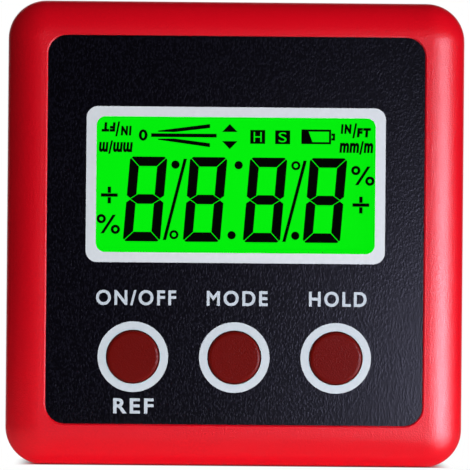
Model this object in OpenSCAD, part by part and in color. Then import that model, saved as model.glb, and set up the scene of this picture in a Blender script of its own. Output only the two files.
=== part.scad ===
// Digital angle gauge: a square red case that stands on a magnetic base, with a backlit display and
// three keys on the front and a battery compartment in the back.
//
// World frame: +X to the right of the display, +Z up from the base, and the display faces -Y.
// Pieces are drawn in panel coordinates and placed by panel(): x to the right, y up from the base, and z from
// the back plane towards the viewer.

/* [Case] */
// Width of the case, side to side
body_w = 60; // [58:0.5:68]
// Height of the case, base to top
body_h = 61; // [59:0.5:70]
// Depth of the case, back plane to front rim
body_d = 30; // [29:0.5:36]
// Corner radius of the case seen from the front
corner_r = 5; // [4.8:0.1:6.5]
// Rounding of the front edge
front_round = 4.4; // [3:0.1:4.6]
// Rounding of the back edge
back_round = 2.5; // [1:0.1:2.8]
// Thickness of the case walls
wall = 2; // [1.8:0.1:2.2]
// Depth of the rear cover, back plane to seam
cover_d = 4.5; // [4:0.1:5]
// Width of the lip that keys the rear cover into the case
lip_t = 1.2; // [1:0.1:1.4]
// Reach of that lip past the seam
lip_h = 2; // [1:0.1:3]
// Width of the seal in the seam
seal_w = 0.7; // [0.5:0.05:0.8]
// Height of the seal in the seam
seal_h = 0.8; // [0.5:0.05:0.9]

/* [Front film] */
// Width of the front film
film_w = 49.4; // [47:0.1:50]
// Height of the front film
film_h = 50.9; // [49:0.1:51.2]
// Corner radius of the front film
film_r = 2.5; // [1.5:0.1:3.5]
// Thickness of the front film
film_t = 0.3; // [0.2:0.05:0.4]
// Depth of the film's face below the front rim
film_recess = 0.3; // [0.2:0.05:0.5]
// Rise of the film's middle above the middle of the case
film_rise = 0.45; // [0:0.05:0.5]
// Bevel on the edge of the film's pocket
pocket_bevel = 0.18; // [0.05:0.01:0.2]

/* [Display] */
// Width of the display window
window_w = 36.6; // [34:0.1:37]
// Height of the display window
window_h = 17.8; // [16:0.1:18.4]
// Corner radius of the display window
window_r = 1.2; // [0.8:0.1:1.6]
// Rise of the window's middle above the middle of the case
window_rise = 6.4; // [6:0.1:7.5]
// Thickness of the clear lens
lens_t = 1.2; // [0.8:0.1:1.4]
// Lap of the lens under the film
lens_lap = 1.3; // [0.8:0.1:1.6]
// Thickness of one glass plate of the display
glass_t = 1.1; // [0.7:0.1:1.2]
// Border of the display glass outside the window
glass_border = 2; // [1.2:0.1:2.2]
// Height of the contact strip on the upper and lower edge of the display
contact_ledge = 1.8; // [1.6:0.1:2]
// Thickness of the light guide behind the display
guide_t = 3; // [2:0.1:3.4]
// Thickness of the rib that frames the display
frame_rib = 1; // [0.8:0.1:1.2]

/* [Keys] */
// Diameter of a key
key_d = 6.9; // [6:0.1:7.5]
// Distance between neighbouring keys
key_pitch = 13.3; // [12.5:0.1:14]
// Drop of the keys' middle below the middle of the case
key_drop = 16.2; // [15.5:0.1:17]
// Rise of a key's face above the film
key_proud = 0.25; // [0.1:0.05:0.3]
// Travel of a key when it is pressed
key_travel = 0.4; // [0.2:0.05:0.5]
// Width of the collar that keeps a key in the case
key_collar = 0.9; // [0.6:0.1:1.2]

/* [Circuit board] */
// Thickness of the circuit board
board_t = 1.6; // [1:0.1:2]
// Side of a push switch
switch_w = 6; // [5:0.1:6.4]
// Height of a push switch's case
switch_h = 2.2; // [1.8:0.1:2.6]
// Diameter of a push switch's plunger
plunger_d = 3.4; // [2.5:0.1:3.6]
// Side of the controller chip
chip_w = 9; // [6:0.5:12]
// Thickness of the controller chip
chip_t = 1.4; // [0.8:0.1:2]
// Side of the tilt sensor
sensor_w = 4; // [3:0.1:5]
// Thickness of the tilt sensor
sensor_t = 1.1; // [0.8:0.1:1.6]

/* [Base] */
// Width of the pipe groove in the base
groove_w = 8.6; // [8:0.1:9]
// Width of the flat at the groove's root
groove_root = 1; // [0.5:0.1:1.6]
// Diameter of a base magnet
magnet_d = 4; // [3:0.1:4.4]
// Thickness of a base magnet
magnet_t = 2.5; // [1.5:0.1:3]
// Distance between the magnets, left to right
magnet_pitch = 34; // [24:0.5:40]
// Depth of a magnet's face inside the base
magnet_inset = 0.15; // [0.05:0.05:0.3]

/* [Batteries] */
// Diameter of a battery cell
cell_d = 10.5; // [10:0.1:10.7]
// Length of a cell's terminal
nub_l = 0.9; // [0.7:0.1:1.2]
// Diameter of a cell's terminal
nub_d = 3.8; // [3:0.1:4.2]
// Length of a contact spring
spring_l = 4.7; // [4:0.1:5]
// Wire diameter of a contact spring
spring_wire = 0.6; // [0.4:0.05:0.7]
// Turns of a contact spring
spring_turns = 4; // [3:0.5:5]
// Thickness of the contact plates
contact_t = 0.4; // [0.3:0.05:0.5]
// Thickness of the battery compartment's walls
bay_wall = 1.2; // [1:0.1:1.3]
// Room between the battery compartment and the side walls of the case
bay_room = 1.8; // [1.6:0.1:2.2]

/* [Battery door] */
// Thickness of the battery door
door_t = 1.6; // [1.4:0.1:1.8]
// Gap all round the battery door
door_gap = 0.15; // [0.1:0.05:0.25]
// Width of a hinge tab
tab_w = 6; // [4:0.5:8]
// Distance between the hinge tabs
tab_pitch = 32; // [24:0.5:36]
// Thickness of the hinge tabs and the latch
tab_t = 1; // [0.8:0.1:1.1]
// Reach of a hinge tab past the hinge axis
tab_reach = 1.8; // [1.4:0.1:2]
// Width of the latch
latch_w = 8; // [5:0.5:12]
// Reach of the latch under the edge of the opening
latch_reach = 0.5; // [0.3:0.05:0.7]
// Number of finger grooves on the door
grip_count = 4; // [2:1:6]
// Distance between the finger grooves
grip_pitch = 1.6; // [1.4:0.1:1.8]
// Length of a finger groove
grip_l = 12; // [8:0.5:20]
// Width of a finger groove
grip_w = 0.8; // [0.5:0.1:1]
// Depth of a finger groove
grip_depth = 0.4; // [0.2:0.05:0.6]

/* [Fasteners] */
// Shank diameter of a case screw
case_screw_d = 2; // [1.8:0.1:2.2]
// Length of a case screw under its head
case_screw_l = 8; // [6:0.5:9]
// Shank diameter of a board screw
board_screw_d = 1.7; // [1.5:0.1:1.9]
// Length of a board screw under its head
board_screw_l = 5.5; // [4:0.5:6]

/* [Hidden] */
$fn = 64;

// Clearance between pieces that are set in one another
fit = 0.1;
// Clearance round a screw or a magnet
bore_fit = 0.05;
// Clearance beside a piece that turns or bends past its neighbour
sweep_gap = 0.2;
// Clearance at the sides of a tab in its slot
side_gap = 0.4;
// Overrun of a cut past the face that it opens
over = 1;

// Heights of the front stack, from the film down to the circuit board
film_z = body_d - film_recess;
pocket_z = film_z - film_t;
inner_z = pocket_z - wall;
lens_z = pocket_z - lens_t;
glass_z = inner_z - fit - 2 * glass_t;
guide_z = glass_z - fit - guide_t;
board_top_z = guide_z - fit;
board_z = board_top_z - board_t;

// Middles of the film, the window and the row of keys, and the outline of the circuit board
film_y = body_h / 2 + film_rise;
window_y = body_h / 2 + window_rise;
key_y = body_h / 2 - key_drop;
board_side_gap = 1.4;
board_end_gap = 3.2;
board_w = body_w - 2 * (wall + board_side_gap);
board_h = body_h - 2 * (wall + board_end_gap);

// Display glass, with the contact ledges above and below the light guide
glass_w = window_w + 2 * glass_border;
glass_h = window_h + 2 * (glass_border + sweep_gap);
guide_h = glass_h - 2 * contact_ledge;

// Keys and push switches, left to right
key_x = [-key_pitch, 0, key_pitch];
key_collar_t = 0.8;
key_collar_z = inner_z - fit - key_collar_t;
key_edge = 0.45;
key_foot = 0.6;
plunger_lift = 1.05;
plunger_top_z = key_collar_z - key_foot;
plunger_seat_z = board_top_z + plunger_lift;
switch_tab_l = 1.1;
switch_tab_w = 0.7;
switch_tab_t = 0.2;
switch_tab_pitch = 4.4;

// Chips on the rear of the board: legs, and the gap between the two
chip_leg_l = 0.9;
chip_leg_w = 0.35;
chip_leg_t = 0.2;
chip_leg_pitch = 0.75;
chip_gap = 2;

// Case bosses and board posts
boss_r = 3;
boss_sunk = 0.2;
boss_inset = wall + boss_r - boss_sunk;
boss_x = body_w / 2 - boss_inset;
boss_y = [boss_inset, body_h - boss_inset];
post_r = 2.1;
post_inset = 2.6;
post_below = 5.8;
post_boss_gap = 0.6;
post_x = board_w / 2 - post_inset;
post_y = [window_y - glass_h / 2 - post_below, boss_y[1] - boss_r - post_r - post_boss_gap];

// Screw heads, and the spare depth of a screw's hole past its tip
case_head_d = 3.8;
case_head_h = 1.4;
case_head_z = 2.2;
board_head_d = 3.4;
board_head_h = 1.2;
screw_cross_w = 0.5;
screw_cross_share = 0.6;
tip_gap = 0.4;
case_hole = case_screw_l - (cover_d - case_head_z) + tip_gap;
board_hole = board_screw_l - board_t + tip_gap;

// Base groove and magnet rows
groove_z = body_d / 2;
groove_depth = (groove_w - groove_root) / 2;
magnet_pocket = magnet_t + magnet_inset;
magnet_cup = 1.2;
magnet_cup_r = magnet_d / 2 + magnet_cup;
magnet_cup_h = magnet_pocket + magnet_cup;
magnet_rear_z = (cover_d + seal_h + sweep_gap + groove_z - groove_w / 2) / 2;
magnet_front_z = (groove_z + groove_w / 2 + body_d - front_round) / 2;

// Battery compartment
cell_gap = 0.35;
cell_door_gap = 0.6;
bay_y = body_h / 2;
bay_w = body_w - 2 * (wall + bay_room + bay_wall);
cell_l = bay_w - 2 * contact_t - spring_l;
bay_h = 2 * cell_d + 3 * cell_gap;
cell_z = door_t + cell_door_gap + cell_d / 2;
cell_dy = (cell_d + cell_gap) / 2;
bay_floor_z = cell_z + cell_d / 2 + sweep_gap;
bay_top_z = bay_floor_z + bay_wall;
tail_w = 2;
plate_half = 4.2;

// Battery door: its hinge edge is the upper one, rounded about the hinge axis
ledge_z = door_t + sweep_gap;
door_lap = door_t / 2;
door_w = bay_w + 2 * door_lap;
door_top = bay_y + bay_h / 2 + door_lap;
door_bottom = bay_y - bay_h / 2 - door_lap;
door_corner_r = 1.2;
hinge_y = door_top - door_t / 2;
hinge_z = door_t / 2;
tab_z = wall + sweep_gap;

// Places a piece that is drawn in panel coordinates
module panel() {
    translate([0, body_d / 2, 0]) rotate([90, 0, 0]) children();
}

// Flat rectangle with true round corners, about its middle
module rounded_rect(w, h, r) {
    square([w - 2 * r, h], center = true);
    square([w, h - 2 * r], center = true);
    for (x = [-1, 1], y = [-1, 1])
        translate([x * (w / 2 - r), y * (h / 2 - r)]) circle(r);
}

// Plate with round corners, drawn up from z = 0
module rounded_plate(w, h, r, t) {
    linear_extrude(t) rounded_rect(w, h, r);
}

// Slab with round corners whose rim follows a section: the section is the child, drawn outwards from the
// corner's axis, and it runs along the four sides and round the four corners
module swept_slab(w, h, r, t) {
    translate([r - w / 2, r - h / 2, 0]) cube([w - 2 * r, h - 2 * r, t]);
    for (side = [0, 1, 2, 3]) {
        across = side % 2 == 0 ? w : h;
        along = side % 2 == 0 ? h : w;
        rotate([0, 0, 90 * side]) {
            translate([across / 2 - r, 0, 0])
                rotate([90, 0, 0]) linear_extrude(along - 2 * r, center = true) children();
            translate([across / 2 - r, along / 2 - r, 0]) rotate_extrude(angle = 90) children();
        }
    }
}

// Rim section of radius r and height t with its upper and lower edges rounded
module round_rim(r, t, upper = 0, lower = 0) {
    square([r - max(upper, lower), t]);
    translate([0, lower]) square([r, t - upper - lower]);
    if (upper > 0) translate([r - upper, t - upper]) quarter_disc(upper);
    if (lower > 0) translate([r - lower, lower]) mirror([0, 1]) quarter_disc(lower);
}

module quarter_disc(r) {
    intersection() {
        circle(r);
        square(r);
    }
}

// Cross-section of the pipe groove grown outwards by a wall, run along the base
module groove_bar(length, grow, below) {
    foot = groove_w / 2 + grow * sqrt(2);
    top = groove_depth + grow;
    translate([0, 0, groove_z]) rotate([0, 90, 0]) linear_extrude(length, center = true)
        polygon([
            [-foot - below, -below], [foot + below, -below],
            [foot - top, top], [top - foot, top]
        ]);
}

module at_bosses() {
    for (x = [-boss_x, boss_x], y = boss_y) translate([x, y, 0]) children();
}

module at_posts() {
    for (x = [-post_x, post_x], y = post_y) translate([x, y, 0]) children();
}

// Turns a child to stand on the base at a magnet's place; side is -1 or 1, row is its place in the depth
module at_magnet(side, row) {
    translate([side * magnet_pitch / 2, 0, row]) rotate([-90, 0, 0]) children();
}

module at_magnets() {
    for (side = [-1, 1], row = [magnet_rear_z, magnet_front_z]) at_magnet(side, row) children();
}

// Front case

module case_outside() {
    translate([0, body_h / 2, cover_d])
        swept_slab(body_w, body_h, corner_r, body_d - cover_d)
            round_rim(corner_r, body_d - cover_d, upper = front_round);
}

module case_inside() {
    inner_r = corner_r - wall;
    depth = inner_z - cover_d + over;
    translate([0, body_h / 2, cover_d - over])
        swept_slab(body_w - 2 * wall, body_h - 2 * wall, inner_r, depth)
            round_rim(inner_r, depth, upper = front_round - wall);
}

module film_pocket() {
    r = film_r + fit / 2;
    depth = body_d - pocket_z;
    translate([0, film_y, pocket_z])
        swept_slab(film_w + fit, film_h + fit, r, depth + over)
            polygon([
                [0, 0], [r, 0], [r, depth - pocket_bevel],
                [r + pocket_bevel + over, depth + over], [0, depth + over]
            ]);
}

// Ring along the middle of the wall at the seam
module seal_ring(width, height) {
    translate([0, body_h / 2, cover_d]) linear_extrude(height) difference() {
        rounded_rect(body_w - wall + width, body_h - wall + width, corner_r - (wall - width) / 2);
        rounded_rect(body_w - wall - width, body_h - wall - width, corner_r - (wall + width) / 2);
    }
}

module display_frame() {
    translate([0, window_y, glass_z + fit]) linear_extrude(inner_z - glass_z) difference() {
        square([glass_w + 2 * (fit + frame_rib), glass_h + 2 * (fit + frame_rib)], center = true);
        square([glass_w + 2 * fit, glass_h + 2 * fit], center = true);
    }
}

// Inner sides of the pipe groove and the magnets' pockets, kept inside the rounded outline of the case
module base_ridges() {
    intersection() {
        union() {
            groove_bar(body_w, wall, 0);
            at_magnets() cylinder(r = magnet_cup_r, h = magnet_cup_h);
        }
        translate([0, body_h / 2, cover_d])
            rounded_plate(body_w - wall, body_h - wall, corner_r - wall / 2, body_d);
    }
}

module front_case() {
    color("crimson") panel() difference() {
        union() {
            difference() {
                case_outside();
                case_inside();
            }
            at_bosses() translate([0, 0, cover_d]) cylinder(r = boss_r, h = inner_z - cover_d + over / 2);
            at_posts() translate([0, 0, board_top_z])
                cylinder(r = post_r, h = inner_z - board_top_z + over / 2);
            display_frame();
            base_ridges();
        }
        film_pocket();
        translate([0, window_y, lens_z - fit])
            rounded_plate(window_w + 2 * (lens_lap + fit), window_h + 2 * (lens_lap + fit),
                window_r + lens_lap + fit, lens_t + fit + over / 2);
        translate([0, window_y, inner_z - over])
            rounded_plate(window_w + 4 * fit, window_h + 4 * fit, window_r + 2 * fit, body_d);
        for (x = key_x) translate([x, key_y, inner_z - over])
            cylinder(d = key_d + 2 * fit, h = wall + 2 * over);
        groove_bar(body_w + 2 * over, 0, over);
        at_magnets() translate([0, 0, -over]) cylinder(d = magnet_d + 2 * bore_fit, h = magnet_pocket + over);
        at_bosses() translate([0, 0, cover_d - over])
            cylinder(d = case_screw_d + 2 * bore_fit, h = case_hole + over);
        at_posts() translate([0, 0, board_top_z - over])
            cylinder(d = board_screw_d + 2 * bore_fit, h = board_hole + over);
        translate([0, 0, -over]) seal_ring(seal_w + fit, seal_h + over);
    }
}

// Rear cover with the battery compartment

module cover_lip() {
    outer = 2 * (wall + fit + bore_fit);
    inner = outer + 2 * lip_t;
    difference() {
        translate([0, body_h / 2, cover_d - over]) linear_extrude(lip_h + over) difference() {
            rounded_rect(body_w - outer, body_h - outer, corner_r - outer / 2);
            rounded_rect(body_w - inner, body_h - inner, corner_r - inner / 2);
        }
        at_bosses() translate([0, 0, cover_d]) cylinder(r = boss_r + 2 * fit, h = lip_h + over);
        at_magnets() cylinder(r = magnet_cup_r + sweep_gap, h = magnet_cup_h + sweep_gap);
        groove_bar(body_w, wall + sweep_gap, 0);
    }
}

module cover_shell() {
    inset = 2 * (wall + fit + bore_fit + lip_t);
    difference() {
        translate([0, body_h / 2, 0])
            swept_slab(body_w, body_h, corner_r, cover_d) round_rim(corner_r, cover_d, lower = back_round);
        translate([0, body_h / 2, wall])
            rounded_plate(body_w - inset, body_h - inset, corner_r - inset / 2, cover_d);
    }
}

// Compartment and the door's seat, with round lower corners and square ones at the hinge
module door_opening() {
    seat_w = door_w + 2 * door_gap;
    seat_h = door_top - door_bottom + 2 * door_gap;
    translate([0, bay_y, (bay_floor_z - over) / 2])
        cube([bay_w, bay_h, bay_floor_z + over], center = true);
    translate([0, bay_y, -over]) {
        rounded_plate(seat_w, seat_h, door_corner_r + door_gap, ledge_z + over);
        translate([-seat_w / 2, 0, 0]) cube([seat_w, seat_h / 2, ledge_z + over]);
    }
}

// Slots in the compartment's upper and lower walls, where the door's tabs and latch reach under the back
module door_slots() {
    slot_h = bay_wall + 2 * over;
    swing = 1.2;
    for (x = [-1, 1])
        translate([x * tab_pitch / 2 - tab_w / 2 - side_gap, bay_y + bay_h / 2 - over / 2, wall])
            cube([tab_w + 2 * side_gap, slot_h, tab_t + swing]);
    translate([-latch_w / 2 - side_gap, bay_y - bay_h / 2 + over / 2 - slot_h, wall])
        cube([latch_w + 2 * side_gap, slot_h, tab_t + swing / 2]);
}

// Slots in the compartment's floor for the contacts' tails
module tail_slots() {
    for (y = [-cell_dy, cell_dy])
        translate([-bay_w / 2 - fit, bay_y + y - tail_w / 2 - fit, bay_floor_z - over])
            cube([contact_t + 2 * fit, tail_w + 2 * fit, bay_wall + 2 * over]);
}

// Hollow under the door's latch for a fingertip
module finger_scoop() {
    scoop_r = 7;
    scoop_depth = 1.1;
    scoop_side = 1.5;
    translate([0, door_bottom, scoop_depth - scoop_r]) rotate([0, 90, 0])
        cylinder(r = scoop_r, h = latch_w + 2 * scoop_side, center = true);
}

module rear_cover() {
    color("crimson") panel() difference() {
        union() {
            cover_shell();
            cover_lip();
            at_bosses() translate([0, 0, wall / 2]) cylinder(r = boss_r, h = cover_d - wall / 2);
            translate([-bay_w / 2 - bay_wall, bay_y - bay_h / 2 - bay_wall, wall / 2])
                cube([bay_w + 2 * bay_wall, bay_h + 2 * bay_wall, bay_top_z - wall / 2]);
        }
        door_opening();
        door_slots();
        tail_slots();
        finger_scoop();
        at_bosses() {
            translate([0, 0, -over]) cylinder(d = case_head_d + 4 * fit, h = case_head_z + over);
            cylinder(d = case_screw_d + 4 * bore_fit, h = cover_d + over);
        }
    }
}

module case_seal() {
    color("dimgray") panel() seal_ring(seal_w, seal_h);
}

// Screw with its head's seat at z = 0 and its shank along +z
module cross_screw(shank_d, length, head_d, head_h) {
    cross_l = screw_cross_share * head_d;
    cross_depth = screw_cross_share * head_h;
    difference() {
        union() {
            cylinder(d = shank_d, h = length);
            translate([0, 0, -head_h]) rotate_extrude() intersection() {
                square([head_d / 2, head_h]);
                translate([0, head_d]) circle(head_d);
            }
        }
        for (turn = [0, 90]) rotate([0, 0, turn])
            translate([-cross_l / 2, -screw_cross_w / 2, -head_h - over])
                cube([cross_l, screw_cross_w, over + cross_depth]);
    }
}

module case_screws() {
    color("silver") panel() at_bosses() translate([0, 0, case_head_z])
        cross_screw(case_screw_d, case_screw_l, case_head_d, case_head_h);
}

// Front panel

module front_film() {
    color([0.05, 0.05, 0.08]) panel() translate([0, 0, pocket_z]) linear_extrude(film_t) difference() {
        translate([0, film_y]) rounded_rect(film_w, film_h, film_r);
        translate([0, window_y]) rounded_rect(window_w, window_h, window_r);
        for (x = key_x) translate([x, key_y]) circle(d = key_d + 2 * fit);
    }
}

module display_lens() {
    color([0.8, 0.9, 0.85, 0.4]) panel() translate([0, window_y, lens_z])
        rounded_plate(window_w + 2 * lens_lap, window_h + 2 * lens_lap, window_r + lens_lap, lens_t);
}

// Key cap: a flat button with a rounded edge, a collar behind the front wall and a foot on the plunger
module key(index) {
    r = key_d / 2;
    top = film_z + key_proud - key_collar_z;
    color([0.4, 0.06, 0.04]) panel() translate([key_x[index], key_y, key_collar_z]) {
        rotate_extrude() {
            square([r + key_collar, key_collar_t]);
            round_rim(r, top, upper = key_edge);
        }
        translate([0, 0, -key_foot]) cylinder(d = plunger_d, h = key_foot);
    }
}

// Display stack

module display_glass() {
    color([0.55, 0.75, 0.55]) panel() translate([0, window_y, glass_z]) {
        translate([-glass_w / 2, -glass_h / 2, glass_t]) cube([glass_w, glass_h, glass_t]);
        translate([-glass_w / 2, -guide_h / 2, 0]) cube([glass_w, guide_h, glass_t]);
    }
}

module light_guide() {
    color("honeydew") panel() translate([-glass_w / 2, window_y - guide_h / 2, guide_z])
        cube([glass_w, guide_h, guide_t]);
}

// Rubber contact strip between the display's ledge and the circuit board; side is 1 for the upper strip
module contact_strip(side) {
    strip_h = contact_ledge - 4 * fit;
    strip_w = glass_w - 2 * frame_rib;
    mid = window_y + side * (glass_h - contact_ledge) / 2;
    color("darkslategray") panel() translate([-strip_w / 2, mid - strip_h / 2, board_top_z])
        cube([strip_w, strip_h, glass_z + glass_t - board_top_z]);
}

module backlight_lamp() {
    lamp = [1, 3, 1.6];
    color("lime") panel() translate([glass_w / 2 + 2 * fit, window_y - lamp[1] / 2, board_top_z]) cube(lamp);
}

// Circuit board and what it carries

module circuit_board() {
    color("darkgreen") panel() difference() {
        translate([-board_w / 2, body_h / 2 - board_h / 2, board_z]) cube([board_w, board_h, board_t]);
        at_bosses() translate([0, 0, board_z - over]) cylinder(r = boss_r + 4 * fit, h = board_t + 2 * over);
        at_posts() translate([0, 0, board_z - over])
            cylinder(d = board_screw_d + 4 * bore_fit, h = board_t + 2 * over);
    }
}

module board_screws() {
    color("silver") panel() at_posts() translate([0, 0, board_z])
        cross_screw(board_screw_d, board_screw_l, board_head_d, board_head_h);
}

// Flat chip on the rear of the board with a row of legs along two sides
module chip(w, t, y) {
    legs = floor(w / chip_leg_pitch);
    first = y - (legs - 1) * chip_leg_pitch / 2;
    translate([-w / 2, y - w / 2, board_z - t]) cube([w, w, t]);
    for (side = [-1, 1], i = [0:legs - 1])
        translate([side * (w + chip_leg_l) / 2, first + i * chip_leg_pitch, board_z - chip_leg_t / 2])
            cube([chip_leg_l, chip_leg_w, chip_leg_t], center = true);
}

module controller_chip() {
    color([0.1, 0.1, 0.1]) panel() chip(chip_w, chip_t, window_y);
}

module tilt_sensor() {
    color([0.15, 0.15, 0.15]) panel() chip(sensor_w, sensor_t, window_y + (chip_w + sensor_w) / 2 + chip_gap);
}

module push_switch(index) {
    color([0.12, 0.12, 0.12]) panel() translate([key_x[index], key_y, board_top_z]) {
        difference() {
            translate([-switch_w / 2, -switch_w / 2, 0]) cube([switch_w, switch_w, switch_h]);
            translate([0, 0, plunger_seat_z - board_top_z - key_travel - fit])
                cylinder(d = plunger_d + 2 * fit, h = switch_h);
        }
        for (x = [-1, 1], y = [-1, 1])
            translate([x * (switch_w + switch_tab_l) / 2, y * switch_tab_pitch / 2, switch_tab_t / 2])
                cube([switch_tab_l, switch_tab_w, switch_tab_t], center = true);
    }
}

module plunger(index) {
    color("gainsboro") panel() translate([key_x[index], key_y, plunger_seat_z])
        cylinder(d = plunger_d, h = plunger_top_z - plunger_seat_z);
}

module base_magnet(side, row) {
    color("lightgray") panel() at_magnet(side, row) translate([0, 0, magnet_inset])
        cylinder(d = magnet_d, h = magnet_t);
}

// Batteries and their contacts

// Cell along x with its terminal at the low end, turned round when way is -1; level is 1 for the upper cell
module battery(level, way) {
    edge = 0.5;
    r = cell_d / 2;
    low = -bay_w / 2 + contact_t;
    color("goldenrod") panel() translate([0, bay_y + level * cell_dy, cell_z])
        rotate([0, way * 90, 0]) translate([0, 0, low]) rotate_extrude() polygon([
            [0, 0], [nub_d / 2, 0], [nub_d / 2, nub_l], [r - edge, nub_l], [r, nub_l + edge],
            [r, cell_l - edge], [r - edge, cell_l], [0, cell_l]
        ]);
}

// Points of the conical contact spring about z, from its wide foot at z = 0 to its narrow end
spring_sides = 8;
spring_steps = 14;
spring_rings = floor(spring_turns * spring_steps);
spring_foot_r = 3.6;
spring_end_r = 2.2;
function spring_point(ring, side) =
    let (
        share = ring / spring_rings,
        turn = 360 * ring / spring_steps,
        around = 360 * side / spring_sides,
        radius = spring_foot_r + (spring_end_r - spring_foot_r) * share + spring_wire / 2 * cos(around),
        rise = spring_wire / 2 + fit / 2 + (spring_l - 2 * fit - spring_wire) * share
    )
    [radius * cos(turn), radius * sin(turn), rise + spring_wire / 2 * sin(around)];

module contact_spring() {
    last = spring_rings * spring_sides;
    polyhedron(
        points = [for (ring = [0:spring_rings], side = [0:spring_sides - 1]) spring_point(ring, side)],
        faces = concat(
            [for (ring = [0:spring_rings - 1], side = [0:spring_sides - 1])
                let (a = ring * spring_sides + side, b = ring * spring_sides + (side + 1) % spring_sides)
                [a, b, b + spring_sides, a + spring_sides]],
            [[for (side = [0:spring_sides - 1]) spring_sides - 1 - side]],
            [[for (side = [0:spring_sides - 1]) last + side]]
        )
    );
}

// Contact plate against an end wall of the compartment; side is -1 for the left wall
module contact_plate(side, low, high) {
    plate_z = ledge_z + bay_wall;
    translate([side * (bay_w - contact_t) / 2 - contact_t / 2, bay_y + low, plate_z])
        cube([contact_t, high - low, bay_floor_z - plate_z - 2 * fit]);
}

module contact_tail(level) {
    start = bay_floor_z - over;
    translate([-bay_w / 2, bay_y + level * cell_dy - tail_w / 2, start])
        cube([contact_t, tail_w, board_z - start]);
}

module contact_positive() {
    color("silver") panel() {
        contact_plate(-1, cell_dy - plate_half, cell_dy + plate_half);
        contact_tail(1);
    }
}

module contact_negative() {
    color("silver") panel() {
        contact_plate(-1, -cell_dy - plate_half, -cell_dy + plate_half);
        contact_tail(-1);
        translate([-bay_w / 2 + contact_t, bay_y - cell_dy, cell_z]) rotate([0, 90, 0]) contact_spring();
    }
}

module contact_bridge() {
    color("silver") panel() {
        contact_plate(1, -cell_dy - plate_half, cell_dy + plate_half);
        translate([bay_w / 2 - contact_t, bay_y + cell_dy, cell_z]) rotate([0, -90, 0]) contact_spring();
    }
}

// Battery door: hinge tabs under the upper edge, a latch under the lower edge and finger grooves outside

module door_plate() {
    door_h = hinge_y - door_bottom;
    translate([-door_w / 2, hinge_y, hinge_z]) rotate([0, 90, 0]) cylinder(d = door_t, h = door_w);
    linear_extrude(door_t) {
        translate([-door_w / 2, door_bottom + door_corner_r]) square([door_w, door_h - door_corner_r]);
        translate([-door_w / 2 + door_corner_r, door_bottom])
            square([door_w - 2 * door_corner_r, door_corner_r]);
        for (x = [-1, 1]) translate([x * (door_w / 2 - door_corner_r), door_bottom + door_corner_r])
            circle(door_corner_r);
    }
}

module hinge_tab(x) {
    foot = 1.5;
    translate([x - tab_w / 2, hinge_y - foot, tab_z]) cube([tab_w, foot + tab_reach, tab_t]);
    translate([x - tab_w / 2, hinge_y - foot, hinge_z])
        cube([tab_w, foot - sweep_gap, tab_z + tab_t - hinge_z]);
}

module door_latch() {
    foot = 0.9;
    foot_y = bay_y - bay_h / 2 + sweep_gap;
    nose_y = door_bottom - latch_reach;
    nose_z = tab_z + fit;
    translate([-latch_w / 2, foot_y, hinge_z]) cube([latch_w, foot, nose_z + tab_t - hinge_z]);
    translate([-latch_w / 2, nose_y, nose_z]) cube([latch_w, foot_y + foot - nose_y, tab_t]);
}

module battery_door() {
    color("crimson") panel() difference() {
        union() {
            door_plate();
            for (x = [-1, 1]) hinge_tab(x * tab_pitch / 2);
            door_latch();
        }
        for (i = [1:grip_count]) translate([-grip_l / 2, door_bottom + door_corner_r + i * grip_pitch, -over])
            cube([grip_l, grip_w, over + grip_depth]);
    }
}

front_case();
rear_cover();
case_seal();
case_screws();
front_film();
display_lens();
key(0);  // key_power
key(1);  // key_mode
key(2);  // key_hold
display_glass();
light_guide();
contact_strip(1);  // contact_strip_upper
contact_strip(-1);  // contact_strip_lower
backlight_lamp();
circuit_board();
board_screws();
controller_chip();
tilt_sensor();
push_switch(0);  // switch_power
push_switch(1);  // switch_mode
push_switch(2);  // switch_hold
plunger(0);  // plunger_power
plunger(1);  // plunger_mode
plunger(2);  // plunger_hold
base_magnet(-1, magnet_front_z);  // magnet_front_left
base_magnet(1, magnet_front_z);  // magnet_front_right
base_magnet(-1, magnet_rear_z);  // magnet_rear_left
base_magnet(1, magnet_rear_z);  // magnet_rear_right
battery(1, 1);  // battery_upper
battery(-1, -1);  // battery_lower
contact_positive();
contact_negative();
contact_bridge();
battery_door();
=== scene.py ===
"""Finishes, prints and studio of a digital angle gauge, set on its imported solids.

The file is laid out as an add-on and run as a script: main() registers the classes and calls the
operators in order.
"""

import math
from contextlib import contextmanager

import bmesh
import bpy
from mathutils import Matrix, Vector


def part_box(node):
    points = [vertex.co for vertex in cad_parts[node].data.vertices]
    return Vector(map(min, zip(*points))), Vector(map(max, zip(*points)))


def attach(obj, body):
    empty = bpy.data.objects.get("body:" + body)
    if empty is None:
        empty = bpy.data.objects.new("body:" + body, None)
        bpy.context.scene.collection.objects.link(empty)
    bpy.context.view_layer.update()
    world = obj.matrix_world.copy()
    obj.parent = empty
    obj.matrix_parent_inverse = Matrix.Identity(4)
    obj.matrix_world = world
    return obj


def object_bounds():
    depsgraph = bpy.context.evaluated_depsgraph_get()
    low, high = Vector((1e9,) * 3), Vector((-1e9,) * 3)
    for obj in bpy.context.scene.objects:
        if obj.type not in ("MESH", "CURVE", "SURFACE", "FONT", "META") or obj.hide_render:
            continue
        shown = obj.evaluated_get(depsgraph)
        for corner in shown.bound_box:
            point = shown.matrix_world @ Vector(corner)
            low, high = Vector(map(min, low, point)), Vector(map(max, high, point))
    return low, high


bl_info = {
    "name": "Angle Gauge",
    "version": (1, 0, 0),
    "blender": (4, 5, 0),
    "location": "View3D > Sidebar > Gauge",
    "description": "Finishes, prints and studio of a digital angle gauge",
    "category": "Object",
}

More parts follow.
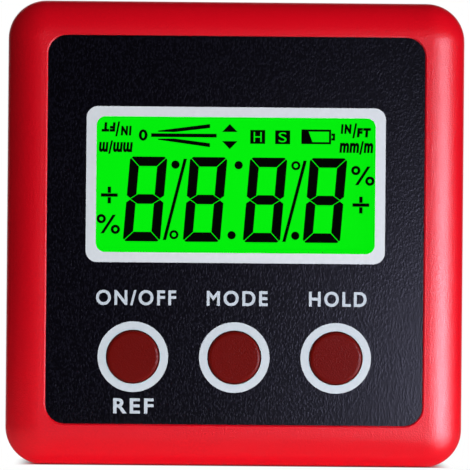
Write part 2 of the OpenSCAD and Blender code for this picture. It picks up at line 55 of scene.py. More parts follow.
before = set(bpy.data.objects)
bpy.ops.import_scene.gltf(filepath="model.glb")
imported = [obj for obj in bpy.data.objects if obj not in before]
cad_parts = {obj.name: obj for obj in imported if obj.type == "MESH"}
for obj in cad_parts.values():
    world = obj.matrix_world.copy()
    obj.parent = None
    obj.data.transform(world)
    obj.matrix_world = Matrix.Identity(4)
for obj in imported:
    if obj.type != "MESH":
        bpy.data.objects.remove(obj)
CAD_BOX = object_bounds()
MM = 0.001

# Places taken from the solids: a face is the level in Y that a print or a mark lies on, and the seam is
# the level in Y where case and cover meet
FILM_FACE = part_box("front_film")[0].y
GLASS_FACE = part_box("display_glass")[0].y
LENS_LOW, LENS_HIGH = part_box("display_lens")
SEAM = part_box("front_case")[1].y
KEYS = {"power": "key_power", "mode": "key_mode", "hold": "key_hold"}


def middle(node):
    """Middle of a node's box."""
    low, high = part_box(node)
    return (low + high) / 2


def srgb(red, green, blue):
    """Linear colour of an 8-bit screen colour."""
    def linear(value):
        value /= 255
        return value / 12.92 if value <= 0.04045 else ((value + 0.055) / 1.055) ** 2.4
    return tuple(linear(v) for v in (red, green, blue))


def length(name, description, value):
    """Size property, given in millimetres and kept in metres."""
    return bpy.props.FloatProperty(
        name=name, description=description, default=value * MM, min=0, precision=5, unit="LENGTH")


def colour(name, description, *screen):
    """Colour property, given as an 8-bit screen colour."""
    return bpy.props.FloatVectorProperty(
        name=name, description=description, default=srgb(*screen), min=0, max=1, subtype="COLOR")


class GaugeSizes(bpy.types.PropertyGroup):
    """Sizes of the prints and of the marks in the display"""
    window_lap: length("Window lap", "Lap of the lens under the film", 1.3)
    window_corner: length("Window corner", "Corner radius of the window", 1.2)
    border_w: length("Border width", "Width of the white border round the window", 1.32)
    border_corner: length("Border corner", "Corner radius of that border", 1.5)
    ring_d: length("Ring diameter", "Diameter of the white ring round a key", 9.25)
    hole_d: length("Hole diameter", "Diameter of the film's hole for a key", 7.1)
    print_t: length("Print thickness", "Thickness of the prints and marks", 0.02)
    legend_rise: length("Legend rise", "Height of the legends over the keys", 7.75)
    legend_drop: length("Legend drop", "Depth of the lower legend under its key", 6.45)
    legend_h: length("Legend height", "Height of a capital letter in the legends", 2.0)
    digit_w: length("Digit width", "Width of a digit in the display", 4.9)
    digit_h: length("Digit height", "Height of a digit in the display", 11.14)
    digit_pitch: length("Digit pitch", "Distance between neighbouring digits", 7.88)
    digit_drop: length("Digit drop", "Drop of the digits below the middle of the window", 1.9)
    segment_t: length("Segment width", "Width of a digit's segment", 1.25)
    segment_gap: length("Segment gap", "Gap between neighbouring segments", 0.1)
    stroke_w: length("Stroke width", "Width of the thin strokes in the display", 0.42)
    digit_lean: bpy.props.FloatProperty(
        name="Digit lean", description="Sideways run of the digits for each unit of height", default=0.08)


class GaugeColours(bpy.types.PropertyGroup):
    """Colours of the finishes"""
    case_red: colour("Case", "Moulded case and cover", 217, 0, 22)
    film_black: colour("Film", "Front film", 1, 0, 3)
    film_fleck: colour("Film fleck", "Raised flecks of the film's grain", 9, 8, 17)
    print_white: colour("Border print", "White border round the window", 211, 217, 217)
    ring_white: colour("Ring print", "Rings round the keys", 197, 206, 208)
    legend_grey: colour("Legends", "Words on the film", 190, 200, 205)
    key_red: colour("Keys", "Rubbery red keys", 98, 10, 5)
    display_green: colour("Display", "Lit field of the display", 2, 248, 12)
    display_ink: colour("Display ink", "Dark segments and marks", 5, 3, 4)


def sizes():
    """Sizes set in the sidebar."""
    return bpy.context.scene.gauge_sizes


def colours():
    """Colours set in the sidebar."""
    return bpy.context.scene.gauge_colours


# Shader graphs


class Wire:
    """A shader socket that takes part in arithmetic: each operator adds a Math node."""

    def __init__(self, tree, socket=None):
        self.tree = tree
        self.socket = socket

    def node(self, kind, settings=None, sockets=None, output=0):
        """Adds a node, sets its settings, then its sockets' values or links, and gives one output."""
        made = self.tree.nodes.new(kind)
        for name, value in (settings or {}).items():
            setattr(made, name, value)
        for name, value in (sockets or {}).items():
            if isinstance(value, Wire):
                self.tree.links.new(value.socket, made.inputs[name])
            else:
                made.inputs[name].default_value = value
        return Wire(self.tree, made.outputs[output]) if len(made.outputs) else None

    def maths(self, operation, first, second):
        """Math node on two values."""
        return self.node("ShaderNodeMath", {"operation": operation}, {0: first, 1: second})

    def __add__(self, other):
        return self.maths("ADD", self, other)

    def __radd__(self, other):
        return self.maths("ADD", other, self)

    def __sub__(self, other):
        return self.maths("SUBTRACT", self, other)

    def __mul__(self, other):
        return self.maths("MULTIPLY", self, other)

    def __rmul__(self, other):
        return self.maths("MULTIPLY", other, self)


def grain(at, size, detail=2.0):
    """Noise whose features are about the given size in metres."""
    return at.node("ShaderNodeTexNoise", {}, {"Vector": at, "Scale": 1 / size, "Detail": detail})


def ramp(value, low, high):
    """0 at low, 1 at high, smooth between."""
    return value.node(
        "ShaderNodeMapRange", {"interpolation_type": "SMOOTHSTEP"},
        {"Value": value, "From Min": low, "From Max": high})


def mix(factor, first, second):
    """Blend of two colours, each a linear triple or a Wire."""
    def shade(value):
        return value if isinstance(value, Wire) else (*value, 1.0)
    return factor.node(
        "ShaderNodeMix", {"data_type": "RGBA"}, {0: factor, 6: shade(first), 7: shade(second)}, output=2)


def relief(height, depth):
    """Bumped normal from a height between 0 and 1, with its full depth in metres."""
    return height.node("ShaderNodeBump", {}, {"Height": height, "Distance": depth, "Strength": 1.0})


def axis(at, name):
    """One coordinate of a position."""
    return at.node("ShaderNodeSeparateXYZ", {}, {"Vector": at}, output=name)


def stretched(at, x, y, z):
    """Position scaled along each axis, so that a texture is drawn out where the factor is under 1."""
    return at.node("ShaderNodeVectorMath", {"operation": "MULTIPLY"}, {0: at, 1: (x, y, z)})


def scaled(shade, factor):
    """Lighter or darker form of a colour."""
    return tuple(min(1.0, v * factor) for v in shade)


def camera_ray(start):
    """1 for a ray straight from the camera."""
    return start.node("ShaderNodeLightPath", output="Is Camera Ray")


def mirror_ray(start):
    """1 for a ray that a glossy or clear surface sends on."""
    gloss = start.node("ShaderNodeLightPath", output="Is Glossy Ray")
    return gloss.maths("MAXIMUM", gloss, start.node("ShaderNodeLightPath", output="Is Transmission Ray"))


def finish(name, paint):
    """Material whose surface sockets come from a paint function of the position."""
    material = bpy.data.materials.get(name)
    if material:
        return material
    material = bpy.data.materials.new(name)
    material.use_nodes = True
    material.node_tree.nodes.clear()
    start = Wire(material.node_tree)
    at = start.node("ShaderNodeTexCoord", output="Object")
    surface = start.node("ShaderNodeBsdfPrincipled", {}, paint(at))
    start.node("ShaderNodeOutputMaterial", {}, {"Surface": surface})
    return material


def moulded(shade, rough, size=0.16 * MM, depth=0.004 * MM, shine=0.5, seam=None):
    """Satin moulded plastic: fine speckle in colour, gloss and relief, and a slow drift of the colour.

    A seam is the level in Y where two shells meet; there a dark hairline of painted shade stands for the
    shadow in the gap between them.
    """
    # Half-widths of the painted shade line at the seam
    shade_line_core, shade_line_edge = 0.04 * MM, 0.1 * MM

    def paint(at):
        speckle = grain(at, size, 3.0)
        drift = grain(at, 9 * MM)
        spotted = mix(ramp(speckle, 0.35, 0.68), scaled(shade, 0.93), scaled(shade, 1.05))
        body = mix(ramp(drift, 0.3, 0.7), spotted, shade)
        # Painted shade: a dark hairline at the seam stands for the shadow in the gap between case and
        # cover
        if seam is not None:
            away = at.node("ShaderNodeMath", {"operation": "ABSOLUTE"}, {0: axis(at, "Y") - seam})
            body = mix(ramp(away, shade_line_core, shade_line_edge), scaled(shade, 0.2), body)
        return {
            "Base Color": body,
            "Roughness": rough - 0.05 + 0.1 * speckle,
            "Specular IOR Level": shine,
            "Normal": relief(speckle, depth),
        }
    return paint


def printed(shade, rough=0.5):
    """Screen-printed ink with a faint mottle."""
    def paint(at):
        mottle = grain(at, 0.5 * MM, 3.0)
        return {
            "Base Color": mix(ramp(mottle, 0.3, 0.7), scaled(shade, 0.96), shade),
            "Roughness": rough - 0.04 + 0.08 * mottle,
            "Specular IOR Level": 0.35,
        }
    return paint


def metal(shade, rough, size=0.3 * MM):
    """Plated or drawn metal with a fine satin grain."""
    def paint(at):
        haze = grain(at, size, 4.0)
        return {
            "Base Color": mix(ramp(haze, 0.3, 0.7), scaled(shade, 0.9), shade),
            "Roughness": rough - 0.06 + 0.12 * haze,
            "Metallic": 1.0,
        }
    return paint


def film_paint(at):
    """Black film embossed with a fine upright fleck, like leather."""
    shade = tuple(colours().film_black)
    fleck = ramp(grain(stretched(at, 1.0, 1.0, 0.6), 0.24 * MM, 1.0), 0.42, 0.7)
    drift = grain(at, 14 * MM)
    return {
        "Base Color": mix(fleck, shade, tuple(colours().film_fleck)),
        "Roughness": 0.14 + 0.02 * fleck + 0.02 * drift,
        "Specular IOR Level": 0.5,
        "Normal": relief(fleck, 0.0024 * MM),
    }


def lens_paint(at):
    """Clear lens: nearly all of it lets the display through."""
    smear = grain(at, 6 * MM)
    return {
        "Base Color": (0.0, 0.01, 0.0, 1.0),
        "Roughness": 0.04 + 0.03 * smear,
        "Alpha": 0.05 + 0.02 * smear,
        "Specular IOR Level": 0.3,
    }


def lit_green(at):
    """Lit display field, even but for a slow drift."""
    shade = tuple(colours().display_green)
    drift = ramp(grain(at, 12 * MM), 0.3, 0.7)
    return {
        "Base Color": (0.0, 0.05, 0.0, 1.0),
        "Roughness": 0.35 + 0.05 * drift,
        "Specular IOR Level": 0.05,
        "Emission Color": mix(drift, scaled(shade, 0.985), shade),
        "Emission Strength": 1.0,
    }


def ink_paint(at):
    """Dark liquid-crystal segments."""
    shade = tuple(colours().display_ink)
    mottle = grain(at, 0.6 * MM)
    return {
        "Base Color": mix(ramp(mottle, 0.3, 0.7), scaled(shade, 0.8), shade),
        "Roughness": 0.5 + 0.06 * mottle,
        "Specular IOR Level": 0.0,
    }


def board_paint(at):
    """Green solder mask over faint copper runs."""
    mask = grain(at, 0.25 * MM, 3.0)
    runs = at.node(
        "ShaderNodeTexBrick", {"offset": 0.5},
        {
            "Vector": at, "Scale": 1.0, "Mortar Size": 0.15 * MM,
            "Brick Width": 6 * MM, "Row Height": 1.3 * MM,
        },
        output=1)
    return {
        "Base Color": mix(runs, srgb(10, 78, 36), srgb(28, 112, 58)),
        "Roughness": 0.34 + 0.1 * mask,
        "Normal": relief(runs, 0.01 * MM),
    }


def cell_paint(at):
    """Printed jacket of a battery cell: black, and copper-coloured towards one end."""
    band_start, band_edge = 8.0 * MM, 0.2 * MM
    band = ramp(axis(at, "X"), band_start, band_start + band_edge)
    scuff = grain(at, 0.7 * MM, 3.0)
    black = mix(ramp(scuff, 0.3, 0.7), srgb(22, 22, 24), srgb(34, 34, 37))
    return {
        "Base Color": mix(band, black, srgb(196, 128, 58)),
        "Roughness": 0.26 + 0.1 * scuff,
        "Metallic": 0.35 + 0.4 * band,
    }


def rubber(shade):
    """Dull rubber with a dusty grain."""
    return moulded(shade, 0.75, size=0.3 * MM, depth=0.006 * MM, shine=0.25)


# Modelling helpers: everything is deselected first, and then only the piece in hand is selected


def deselect():
    """Leaves no object selected."""
    bpy.ops.object.select_all(action="DESELECT")


def pick_objects(*objects):
    """Makes these objects the whole selection, and the last of them active."""
    deselect()
    for one in objects:
        one.select_set(True)
        bpy.context.view_layer.objects.active = one


@contextmanager
def editing(obj):
    """Edit mode on one object, with nothing in its mesh selected at the start."""
    pick_objects(obj)
    bpy.ops.object.mode_set(mode="EDIT")
    bpy.ops.mesh.select_all(action="DESELECT")
    yield
    bpy.ops.object.mode_set(mode="OBJECT")


def apply_place(obj):
    """Moves an object's place, turn and scale into its mesh."""
    pick_objects(obj)
    bpy.ops.object.transform_apply(location=True, rotation=True, scale=True)


def dress(node, material):
    """Gives a CAD node its finish."""
    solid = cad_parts[node]
    for slot in solid.material_slots:
        slot.material = material


def place(obj, name, body, material):
    """Names a finished piece, gives it its finish and puts it on a body."""
    obj.name = name
    obj.data.name = name
    obj.data.materials.clear()
    obj.data.materials.append(material)
    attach(obj, body)


def thicken(obj, thickness):
    """Gives a flat print its thickness, outwards from its face."""
    pick_objects(obj)
    shell = obj.modifiers.new("thickness", "SOLIDIFY")
    shell.thickness = thickness
    shell.offset = 1.0
    bpy.ops.object.modifier_apply(modifier=shell.name)


def stand_up(obj, x, y, z):
    """Turns a piece that was drawn flat, facing up, to face the viewer at its place."""
    obj.rotation_euler = (math.pi / 2, 0, 0)
    obj.location = (x, y, z)
    apply_place(obj)


def ring_between(outer, inner):
    """Joins two closed outlines of the mesh in edit mode by a band of faces."""
    outer()
    inner()
    bpy.ops.mesh.select_all(action="SELECT")
    bpy.ops.mesh.delete(type="ONLY_FACE")
    bpy.ops.mesh.select_all(action="SELECT")
    bpy.ops.mesh.bridge_edge_loops()
    mesh = bmesh.from_edit_mesh(bpy.context.object.data)
    if sum(face.normal.z for face in mesh.faces) < 0:
        bpy.ops.mesh.flip_normals()


def round_plane(width, height, radius, steps=10):
    """Rectangle with round corners, added to the mesh in edit mode."""
    bpy.ops.mesh.select_all(action="DESELECT")
    bpy.ops.mesh.primitive_plane_add(size=1)
    bpy.ops.transform.resize(value=(width, height, 1))
    bpy.ops.mesh.bevel(offset=radius, segments=steps, affect="VERTICES")


def close_seams(obj):
    """Merges the doubled points where the faces of a drawn shape meet its sides."""
    with editing(obj):
        bpy.ops.mesh.select_all(action="SELECT")
        bpy.ops.mesh.remove_doubles(threshold=0.0001 * MM)
    bpy.ops.object.shade_flat()


def flat_shapes(name, outlines, depth):
    """Mesh of flat outlines in the display's plane, where an outline inside another is a hole."""
    drawing = bpy.data.curves.new(name, "CURVE")
    drawing.dimensions = "2D"
    drawing.fill_mode = "BOTH"
    drawing.extrude = depth / 2
    for points in outlines:
        line = drawing.splines.new("POLY")
        line.points.add(len(points) - 1)
        line.use_cyclic_u = True
        for point, (x, y) in zip(line.points, points):
            point.co = (x, y, 0, 1)
    obj = bpy.data.objects.new(name, drawing)
    bpy.context.scene.collection.objects.link(obj)
    pick_objects(obj)
    bpy.ops.object.convert(target="MESH")
    obj = bpy.context.object
    close_seams(obj)
    return obj


def words(text, width, height, depth, weight=0.0, spacing=1.0, lean=0.0, curve_steps=6):
    """Mesh of a word about its middle, fitted to a width and height."""
    deselect()
    bpy.ops.object.text_add()
    obj = bpy.context.object
    obj.data.body = text
    obj.data.offset = weight
    obj.data.space_character = spacing
    obj.data.shear = lean
    obj.data.resolution_u = curve_steps
    obj.data.extrude = depth / 2
    bpy.ops.object.convert(target="MESH")
    obj = bpy.context.object
    bpy.ops.object.origin_set(type="ORIGIN_GEOMETRY", center="BOUNDS")
    obj.location = (0, 0, 0)
    obj.dimensions = (width, height, depth)
    apply_place(obj)
    close_seams(obj)
    return obj


# Outlines of the display's marks, each a list of points round a closed shape


def bar(start, end, width):
    """Stroke between two points, with its ends cut level."""
    (x0, y0), (x1, y1) = start, end
    reach = width / 2 * math.hypot(x1 - x0, y1 - y0) / abs(y1 - y0)
    return [(x0 - reach, y0), (x0 + reach, y0), (x1 + reach, y1), (x1 - reach, y1)]


def rectangle(left, bottom, right, top):
    """Upright rectangle."""
    return [(left, bottom), (right, bottom), (right, top), (left, top)]


def disc(x, y, radius, tall=1.0, steps=48):
    """Disc, or an oval that is taller than wide."""
    turns = [math.tau * i / steps for i in range(steps)]
    return [(x + radius * math.cos(t), y + tall * radius * math.sin(t)) for t in turns]


def ring(x, y, outer, inner):
    """Disc with a round hole."""
    return [disc(x, y, outer), disc(x, y, inner)]


def mirrored(points, about):
    """Outline swapped left for right."""
    return [(2 * about - x, y) for x, y in points]


def flipped(points, about):
    """Outline swapped top for bottom."""
    return [(x, 2 * about - y) for x, y in points]


def seven_segments(width, height, thick, gap):
    """The seven segments of a digit that stands on the origin, upright."""
    slip = gap / math.sqrt(2)
    cut = 0.3 * thick
    waist = height / 2
    near, far = (cut - slip) / 2, (cut + slip) / 2
    tip, shoulder = 0.42 * thick, 1.17 * thick
    top = [
        (far, height - near), (cut, height), (width - cut, height), (width - far, height - near),
        (width - thick - slip, height - thick), (thick + slip, height - thick),
    ]
    side = [
        (near, height - far), (thick, height - thick - slip), (thick, waist + 0.46 * thick),
        (0.39 * thick, waist + 0.08 * thick), (0, waist + 0.37 * thick), (0, height - cut),
    ]
    bridge = [
        (tip, waist), (shoulder, waist + thick / 2), (width - shoulder, waist + thick / 2),
        (width - tip, waist), (width - shoulder, waist - thick / 2), (shoulder, waist - thick / 2),
    ]
    other = mirrored(side, width / 2)
    return [
        top, side, other, bridge,
        flipped(top, waist), flipped(side, waist), flipped(other, waist),
    ]


# Operators


class GAUGE_OT_shells(bpy.types.Operator):
    """Finishes the case, the rear cover, the battery door and the seal between them"""
    bl_idname = "gauge.shells"
    bl_label = "Shells"

    def execute(self, context):
        red = finish("case red", moulded(
            tuple(colours().case_red), 0.31, size=0.18 * MM, depth=0.055 * MM, shine=0.92, seam=SEAM))
        for node in ("front_case", "rear_cover", "battery_door"):
            dress(node, red)
        dress("case_seal", finish("seal rubber", rubber(srgb(30, 30, 32))))
        return {"FINISHED"}


class GAUGE_OT_front_film(bpy.types.Operator):
    """Finishes the front film and prints the window's border and the rings round the keys on it"""
    bl_idname = "gauge.front_film"
    bl_label = "Front film"

    def execute(self, context):
        dress("front_film", finish("film black", film_paint))
        self.border(sizes())
        self.rings(sizes())
        return {"FINISHED"}

    def border(self, size):
        """Band with round corners round the window."""
        centre = middle("display_lens")
        window_w = LENS_HIGH.x - LENS_LOW.x - 2 * size.window_lap
        window_h = LENS_HIGH.z - LENS_LOW.z - 2 * size.window_lap
        outer_w, outer_h = window_w + 2 * size.border_w, window_h + 2 * size.border_w
        deselect()
        bpy.ops.mesh.primitive_plane_add(size=1)
        band = bpy.context.object
        with editing(band):
            bpy.ops.mesh.select_all(action="SELECT")
            bpy.ops.mesh.delete(type="VERT")
            ring_between(
                lambda: round_plane(outer_w, outer_h, size.border_corner),
                lambda: round_plane(window_w, window_h, size.window_corner))
        thicken(band, size.print_t)
        stand_up(band, centre.x, FILM_FACE, centre.z)
        white = finish("border print", printed(tuple(colours().print_white)))
        place(band, "window_border", "case", white)

    def rings(self, size):
        """Round band at each key."""
        sides = 96
        white = finish("ring print", printed(tuple(colours().ring_white)))
        for name, node in KEYS.items():
            deselect()
            bpy.ops.mesh.primitive_circle_add(vertices=sides, radius=size.ring_d / 2)
            band = bpy.context.object
            with editing(band):
                ring_between(
                    lambda: None,
                    lambda: bpy.ops.mesh.primitive_circle_add(vertices=sides, radius=size.hole_d / 2))
            thicken(band, size.print_t)
            centre = middle(node)
            stand_up(band, centre.x, FILM_FACE, centre.z)
            place(band, f"{name}_ring", "case", white)


class GAUGE_OT_legends(bpy.types.Operator):
    """Prints the plain legends of the keys on the film"""
    bl_idname = "gauge.legends"
    bl_label = "Legends"

    def execute(self, context):
        size = sizes()
        grey = finish("legend print", printed(tuple(colours().legend_grey)))
        style = {"weight": 0.026, "spacing": 1.25, "curve_steps": 12}
        above, below = size.legend_rise, -size.legend_drop
        # Key, word, width, shift to the right of the key and height over it
        legends = (
            ("power", "ON/OFF", 10.5 * MM, 0.36 * MM, above),
            ("mode", "MODE", 8.0 * MM, 0.32 * MM, above),
            ("hold", "HOLD", 7.55 * MM, 0.2 * MM, above),
            ("power", "REF", 5.3 * MM, 0.12 * MM, below),
        )
        for key, text, width, aside, rise in legends:
            centre = middle(KEYS[key])
            word = words(text, width, size.legend_h, size.print_t, **style)
            stand_up(word, centre.x + aside, FILM_FACE - size.print_t / 2, centre.z + rise)
            place(word, "legend_" + text.replace("/", "_").lower(), "case", grey)
        return {"FINISHED"}


class GAUGE_OT_display(bpy.types.Operator):
    """Lights the display behind its lens and draws its digits, marks and units"""
    bl_idname = "gauge.display"
    bl_label = "Display"

    def execute(self, context):
        dress("display_lens", finish("lens clear", lens_paint))
        dress("display_glass", finish("display green", lit_green))
        dress("light_guide", finish("guide white", printed(srgb(225, 236, 226), 0.4)))
        for node in ("contact_strip_upper", "contact_strip_lower"):
            dress(node, finish("strip rubber", rubber(srgb(46, 50, 54))))
        dress("backlight_lamp", finish("lamp", lit_green))
        self.ink = finish("display ink", ink_paint)
        self.level = GLASS_FACE - sizes().print_t / 2
        self.centre = middle("display_lens")
        self.digits()
        self.marks()
        self.units()
        return {"FINISHED"}

    def set_in(self, obj, name, x=0.0, y=0.0, forward=0.0):
        """Stands a mark on the display's face, at a place from the middle of the window."""
        stand_up(obj, self.centre.x + x, self.level - forward, self.centre.z + y)
        place(obj, name, "case", self.ink)

    def digits(self):
        """Four leaning digits with every segment lit."""
        size = sizes()
        half_w, half_h = size.digit_w / 2, size.digit_h / 2
        count, aside = 4, -0.05 * MM
        outlines = [
            [(x - half_w + size.digit_lean * (y - half_h), y - half_h) for x, y in points]
            for points in seven_segments(size.digit_w, size.digit_h, size.segment_t, size.segment_gap)
        ]
        first = flat_shapes("digit", outlines, size.print_t)
        copies = [first]
        for _ in range(count - 1):
            pick_objects(first)
            bpy.ops.object.duplicate(linked=False)
            copies.append(bpy.context.object)
        for i, digit in enumerate(copies):
            x = (i - (count - 1) / 2) * size.digit_pitch + aside
            self.set_in(digit, f"display_digit_{i + 1}", x, -size.digit_drop)

    def marks(self):
        """Points, slashes and signs round the digits, in millimetres from the window's middle."""
        size = sizes()
        stroke = size.stroke_w
        shapes = []

        def put(*outlines):
            shapes.extend([[(x * MM, y * MM) for x, y in points] for points in outlines])

        def slash(start, end, width=stroke / MM):
            put(bar(start, end, width))

        def percent(x, y):
            put(*ring(x - 0.91, y + 0.68, 0.61, 0.25), *ring(x + 0.95, y - 0.7, 0.61, 0.25))
            slash((x + 0.8, y + 1.22), (x - 0.78, y - 1.24), 0.36)

        def plus(x, y, arm=1.1, half=0.22, gap=0.06):
            put(rectangle(x - arm, y - half, x + arm, y + half))
            put(rectangle(x - half, y + half + gap, x + half, y + arm))
            put(rectangle(x - half, y - arm, x + half, y - half - gap))

        dot, low_row, high_row = 0.54, -6.56, 2.65
        for x, row in ((-7.92, high_row), (0.38, high_row), (-0.47, low_row), (7.9, low_row)):
            put(disc(x, row, dot))
        put(*ring(-8.05, low_row, 0.6, 0.29), *ring(7.9, high_row, 0.6, 0.29))
        slash((-6.63, 3.43), (-9.29, -7.27))
        slash((9.12, 3.32), (6.41, -7.38))
        percent(16.7, 1.4)
        plus(16.49, -2.45)
        plus(-16.58, -1.42)
        percent(-16.7, -5.22)
        put(disc(-12.2, 6.5, 0.58, 1.28), disc(-12.2, 6.5, 0.19, 2.1))
        beam = 6.5
        put(rectangle(-11.15, beam - 0.24, -2.55, beam + 0.24))
        ray = [(-10.24, 6.96), (-10.24, 7.1), (-3.42, 8.02), (-3.42, 7.5), (-8.1, 6.92)]
        put(ray, flipped(ray, beam))
        arrow = [(-1.82, 7.01), (0.2, 7.01), (-0.81, 8.05)]
        put(arrow, flipped(arrow, 6.4))
        put(rectangle(1.87, 5.48, 3.83, 7.29), rectangle(5.15, 5.46, 7.12, 7.27))
        put(
            rectangle(8.6, 5.5, 12.5, 7.42),
            [(9.55, 7.15), (12.23, 7.15), (12.23, 5.77), (10.05, 5.77)])
        put([
            (12.54, 6.92), (13.02, 6.92), (13.02, 6.0), (12.54, 6.0),
            (12.54, 6.3), (12.74, 6.3), (12.74, 6.62), (12.54, 6.62),
        ])
        self.set_in(flat_shapes("display_marks", shapes, size.print_t), "display_marks")

    def units(self):
        """Lit letters in two boxes, and the unit signs at both sides, turned over at the left.

        Places are in millimetres from the middle of the window.
        """
        depth = sizes().print_t
        bold = {"weight": 0.075, "spacing": 1.3, "lean": 0.08}
        slim = {"weight": 0.05, "spacing": 1.07, "lean": 0.12}
        thin = {"weight": 0.04}
        lit = finish("letter green", lit_green)
        for x, y, letter in ((2.85, 6.385, "H"), (6.13, 6.365, "S")):
            sign = words(letter, 1.05 * MM, 1.3 * MM, depth)
            self.set_in(sign, f"display_sign_{letter.lower()}", x * MM, y * MM, forward=depth)
            sign.data.materials[0] = lit
        for name, x, turn in (("right", 15.7, 0), ("left", -15.65, math.pi)):
            side = 1 if turn == 0 else -1
            rise = 7.38 if side > 0 else 7.2
            lower = rise - 2.32
            parts = [
                (words("IN", 1.42 * MM, 1.26 * MM, depth, **bold), x - side * 1.22, rise + side * 0.14),
                (words("/", 0.62 * MM, 1.95 * MM, depth, **thin), x - side * 0.1, rise - side * 0.08),
                (words("FT", 1.85 * MM, 1.22 * MM, depth, **bold), x + side * 1.1, rise - side * 0.32),
                (words("mm", 2.6 * MM, 1.32 * MM, depth, **slim), x - side * 0.8, lower),
                (words("/", 0.62 * MM, 1.75 * MM, depth, **thin), x + side * 0.81, lower),
                (words("m", 1.25 * MM, 1.32 * MM, depth, **slim), x + side * 1.72, lower),
            ]
            for i, (obj, at_x, at_y) in enumerate(parts):
                obj.rotation_euler = (0, 0, turn)
                apply_place(obj)
                self.set_in(obj, f"display_unit_{name}_{i + 1}", at_x * MM, at_y * MM)


class GAUGE_OT_keys(bpy.types.Operator):
    """Finishes the three keys, their switches and plungers"""
    bl_idname = "gauge.keys"
    bl_label = "Keys"

    def execute(self, context):
        red = finish("key red", moulded(
            tuple(colours().key_red), 0.24, size=0.22 * MM, depth=0.06 * MM, shine=0.22))
        for name, node in KEYS.items():
            dress(node, red)
            dress(f"switch_{name}", finish("switch black", moulded(srgb(28, 28, 30), 0.45)))
            dress(f"plunger_{name}", finish("plunger white", moulded(srgb(214, 214, 208), 0.5)))
        return {"FINISHED"}


class GAUGE_OT_inside(bpy.types.Operator):
    """Finishes the circuit board with its chips, and the cells with their contacts"""
    bl_idname = "gauge.inside"
    bl_label = "Inside"

    def execute(self, context):
        dress("circuit_board", finish("board green", board_paint))
        for node in ("controller_chip", "tilt_sensor"):
            dress(node, finish("chip black", moulded(srgb(26, 26, 28), 0.5)))
        for node in ("battery_upper", "battery_lower"):
            dress(node, finish("cell jacket", cell_paint))
        for node in ("contact_positive", "contact_negative", "contact_bridge"):
            dress(node, finish("contact steel", metal(srgb(206, 204, 198), 0.28)))
        return {"FINISHED"}


class GAUGE_OT_fasteners(bpy.types.Operator):
    """Finishes the screws and the base magnets"""
    bl_idname = "gauge.fasteners"
    bl_label = "Fasteners"

    def execute(self, context):
        steel = finish("screw steel", metal(srgb(170, 170, 172), 0.32))
        for node in ("case_screws", "board_screws"):
            dress(node, steel)
        nickel = finish("magnet nickel", metal(srgb(214, 212, 206), 0.2))
        for node in ("magnet_front_left", "magnet_front_right", "magnet_rear_left", "magnet_rear_right"):
            dress(node, nickel)
        return {"FINISHED"}


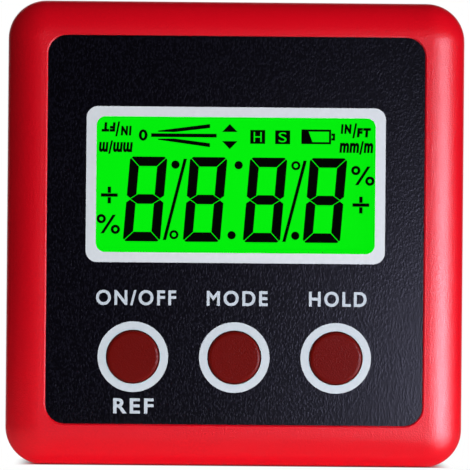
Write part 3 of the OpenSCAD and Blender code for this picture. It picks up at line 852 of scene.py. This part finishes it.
class GAUGE_OT_stage(bpy.types.Operator):
    """Sets the pale floor, the white surround, the lamps and the camera"""
    bl_idname = "gauge.stage"
    bl_label = "Stage"

    def execute(self, context):
        context.scene.view_settings.view_transform = "Standard"
        self.surround(context.scene)
        self.floor()
        self.lamps()
        self.camera(context.scene)
        return {"FINISHED"}

    def surround(self, scene):
        """World: white to the camera and, behind the gauge, in mirror images, and else nearly dark."""
        world = scene.world or bpy.data.worlds.new("surround")
        scene.world = world
        world.use_nodes = True
        world.cycles.sampling_method = "NONE"
        world.node_tree.nodes.clear()
        start = Wire(world.node_tree)

        def grey(level):
            return start.node("ShaderNodeBackground", {}, {"Color": (1, 1, 1, 1), "Strength": level})

        white, dim, soft = grey(1.0), grey(0.01), grey(0.05)
        behind_from, behind_to = 0.9, 0.98
        toward = start.node("ShaderNodeTexCoord", output="Object")
        behind = ramp(axis(toward, "Y"), behind_from, behind_to)
        mirrored_view = start.node("ShaderNodeMixShader", {}, {0: behind, 1: dim, 2: white})
        lit = start.node("ShaderNodeMixShader", {}, {0: mirror_ray(start), 1: soft, 2: mirrored_view})
        shown = start.node("ShaderNodeMixShader", {}, {0: camera_ray(start), 1: lit, 2: white})
        start.node("ShaderNodeOutputWorld", {}, {"Surface": shown})

    def floor(self):
        """Grey paper that is white to the camera, but for the shadow close under the gauge."""
        floor_r, grey = 90 * MM, (0.5, 0.5, 0.5)
        shadow_in, shadow_out = -4 * MM, -1 * MM
        deselect()
        bpy.ops.mesh.primitive_circle_add(vertices=96, radius=floor_r, fill_type="NGON")
        plate = bpy.context.object
        plate.name = "floor"
        material = bpy.data.materials.new("floor white")
        material.use_nodes = True
        material.node_tree.nodes.clear()
        start = Wire(material.node_tree)
        at = start.node("ShaderNodeTexCoord", output="Object")
        out_x, out_y = (
            start.node("ShaderNodeMath", {"operation": "ABSOLUTE"}, {0: axis(at, name)}) - reach
            for name, reach in (("X", CAD_BOX[1].x), ("Y", CAD_BOX[1].y)))
        far = ramp(out_x.maths("MAXIMUM", out_x, out_y), shadow_in, shadow_out)
        paper = start.node("ShaderNodeBsdfPrincipled", {}, printed(grey, 0.8)(at))
        white = start.node("ShaderNodeEmission", {}, {"Color": (1, 1, 1, 1), "Strength": 1.0})
        shown = start.node("ShaderNodeMixShader", {}, {0: far * camera_ray(start), 1: paper, 2: white})
        start.node("ShaderNodeOutputMaterial", {}, {"Surface": shown})
        plate.data.materials.append(material)

    def lamps(self):
        """Key from the right, a far lamp for the film's sheen, a shine off the floor, and matt fills."""
        centre = Vector((0, 0, 0.03))
        up = Vector((0, 0, 1))
        glow = Vector((0.01, -0.036, 0.0001))
        glint = Vector((0.10, -0.075, 0.0001))
        plain, cool, blue = (1, 1, 1), (0.99, 0.98, 1.18), (0.97, 0.97, 1.4)
        # Name, place, aim, width and height, watts, tint, whether it lights, whether surfaces mirror it
        lamps = (
            ("key lamp", (0.168, -0.156, 0.008), centre, (0.15, 0.05), 0.325, cool, True, True),
            ("sheen lamp", (0.10, -0.90, -0.005), centre, (0.05, 0.05), 0.077, blue, True, True),
            ("left fill", (-0.05, -0.18, 0.03), centre, (0.05, 0.05), 0.072, plain, True, False),
            ("right fill", (0.25, -0.04, 0.05), centre, (0.06, 0.06), 0.19, plain, True, False),
            ("top fill", (0.005, -0.055, 0.125), centre, (0.09, 0.04), 0.032, plain, True, False),
            ("floor glow", glow, glow + up, (0.14, 0.06), 0.022, plain, True, False),
            ("floor shine", glint, glint + up, (0.14, 0.12), 0.15, cool, False, True),
            ("rear lamp", (-0.20, 0.40, 0.05), centre, (0.25, 0.25), 1.0, plain, True, False),
        )
        for name, spot, aim, (wide, tall), power, tint, lights, mirrored_too in lamps:
            bpy.ops.object.light_add(type="AREA", location=spot)
            lamp = bpy.context.object
            lamp.name = name
            lamp.data.shape = "RECTANGLE"
            lamp.data.size = wide
            lamp.data.size_y = tall
            lamp.data.energy = power
            lamp.data.color = tint
            lamp.visible_camera = False
            lamp.visible_diffuse = lights
            lamp.visible_glossy = mirrored_too
            lamp.data.cycles.use_multiple_importance_sampling = mirrored_too
            lamp.rotation_euler = (aim - Vector(spot)).to_track_quat("-Z", "Y").to_euler()

    def camera(self, scene):
        """Long lens, level with the middle of the front, a little to its left and hardly tilted."""
        distance, sensor, view_w = 1.0, 36.0, 61.6 * MM
        turn, roll = math.radians(0.7), math.radians(-0.5)
        aside, drop = -0.05 * MM, 0.13 * MM
        low, high = CAD_BOX
        aim = Vector((aside, low.y, (low.z + high.z) / 2 - drop))
        bpy.ops.object.camera_add(
            location=aim + distance * Vector((-math.sin(turn), -math.cos(turn), 0)),
            rotation=(math.pi / 2, roll, -turn))
        camera = bpy.context.object
        camera.data.sensor_width = sensor
        camera.data.lens = sensor * distance / view_w
        scene.camera = camera


OPERATORS = (
    GAUGE_OT_shells, GAUGE_OT_front_film, GAUGE_OT_legends, GAUGE_OT_display,
    GAUGE_OT_keys, GAUGE_OT_inside, GAUGE_OT_fasteners, GAUGE_OT_stage,
)


class GAUGE_PT_sidebar(bpy.types.Panel):
    """Lists the steps and the values that they use"""
    bl_idname = "GAUGE_PT_sidebar"
    bl_label = "Angle gauge"
    bl_space_type = "VIEW_3D"
    bl_region_type = "UI"
    bl_category = "Gauge"

    def draw(self, context):
        for step in OPERATORS:
            self.layout.operator(step.bl_idname)
        for group in (context.scene.gauge_sizes, context.scene.gauge_colours):
            box = self.layout.box()
            for name in group.__annotations__:
                box.prop(group, name)


CLASSES = (GaugeSizes, GaugeColours, *OPERATORS, GAUGE_PT_sidebar)


def register():
    for one in CLASSES:
        bpy.utils.register_class(one)
    bpy.types.Scene.gauge_sizes = bpy.props.PointerProperty(type=GaugeSizes)
    bpy.types.Scene.gauge_colours = bpy.props.PointerProperty(type=GaugeColours)


def unregister():
    del bpy.types.Scene.gauge_colours
    del bpy.types.Scene.gauge_sizes
    for one in reversed(CLASSES):
        bpy.utils.unregister_class(one)


def main():
    register()
    for step in OPERATORS:
        group, name = step.bl_idname.split(".")
        getattr(getattr(bpy.ops, group), name)()


if __name__ == "__main__":
    main()
